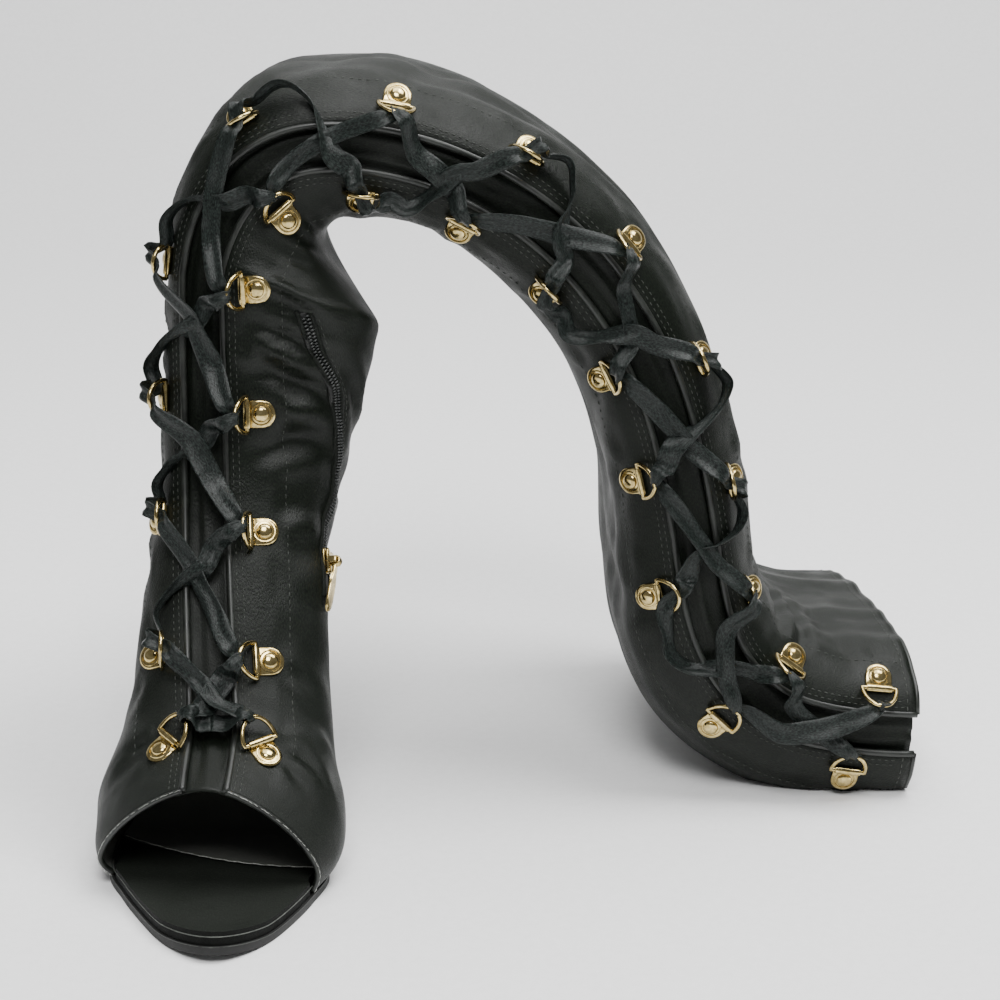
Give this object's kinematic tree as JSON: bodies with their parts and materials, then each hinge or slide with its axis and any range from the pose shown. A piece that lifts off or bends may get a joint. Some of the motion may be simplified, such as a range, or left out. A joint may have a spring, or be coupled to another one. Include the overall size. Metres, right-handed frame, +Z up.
{
  "type": "over-the-knee boot",
  "caption": "Open-toe, high-heeled over-the-knee boot in black satin, laced up its front through gold D-ring loops, with an inner-side zip and a slack shaft bent over to the side.",
  "frame": {"origin": "on the floor, on the underside of the sole under the middle of the tread", "axes": "+X to the inner (medial) side, -Y towards the toe, +Z up from the floor the boot stands on"},
  "size_m": [0.3243, 0.3163, 0.2932],
  "materials": {
    "satin": "black satin weave with a soft sheen",
    "ribbon": "black satin ribbon",
    "sole": "matt black sole sheet",
    "lining": "matt black lining",
    "rubber": "matt black top piece",
    "coil": "black zip coil",
    "gold": "polished gold plate"
  },
  "bodies": {
    "boot": {"outsole": "sole", "footbed": "satin", "insole": "lining", "heel": "satin", "heel_tip": "rubber", "upper": "satin", "tongue": "satin", "lace_loop_outer_01": "gold", "lace_loop_inner_01": "gold", "lace_loop_outer_02": "gold", "lace_loop_inner_02": "gold", "lace_loop_outer_03": "gold", "lace_loop_inner_03": "gold", "lace_loop_outer_04": "gold", "lace_loop_inner_04": "gold", "lace_loop_outer_05": "gold", "lace_loop_inner_05": "gold", "lace_loop_outer_06": "gold", "lace_loop_inner_06": "gold", "lace_loop_outer_07": "gold", "lace_loop_inner_07": "gold", "lace_loop_outer_08": "gold", "lace_loop_inner_08": "gold", "lace_loop_outer_09": "gold", "lace_loop_inner_09": "gold", "lace_loop_outer_10": "gold", "lace_loop_inner_10": "gold", "lace_loop_outer_11": "gold", "lace_loop_inner_11": "gold", "lace_loop_outer_12": "gold", "lace_loop_inner_12": "gold", "lace_loop_outer_13": "gold", "lace_loop_inner_13": "gold", "lace_loop_outer_14": "gold", "lace_loop_inner_14": "gold", "lace_bar": "ribbon", "lace_cross_01": "ribbon", "lace_cross_02": "ribbon", "lace_cross_03": "ribbon", "lace_cross_04": "ribbon", "lace_cross_05": "ribbon", "lace_cross_06": "ribbon", "lace_cross_07": "ribbon", "lace_cross_08": "ribbon", "lace_cross_09": "ribbon", "lace_cross_10": "ribbon", "lace_cross_11": "ribbon", "lace_cross_12": "ribbon", "lace_cross_13": "ribbon", "zip_chain": "coil", "zip_slider": "gold"},
    "zip_pull": {"zip_pull": "gold"}
  },
  "joints": [
    {"name": "zip_pull", "type": "hinge", "parent": "boot", "child": "zip_pull", "pos_m": [0.04057, 0.06039, 0.10534], "axis": [0.2091, 0.7713, -0.6012], "range_deg": [-150, 0]}
  ]
}
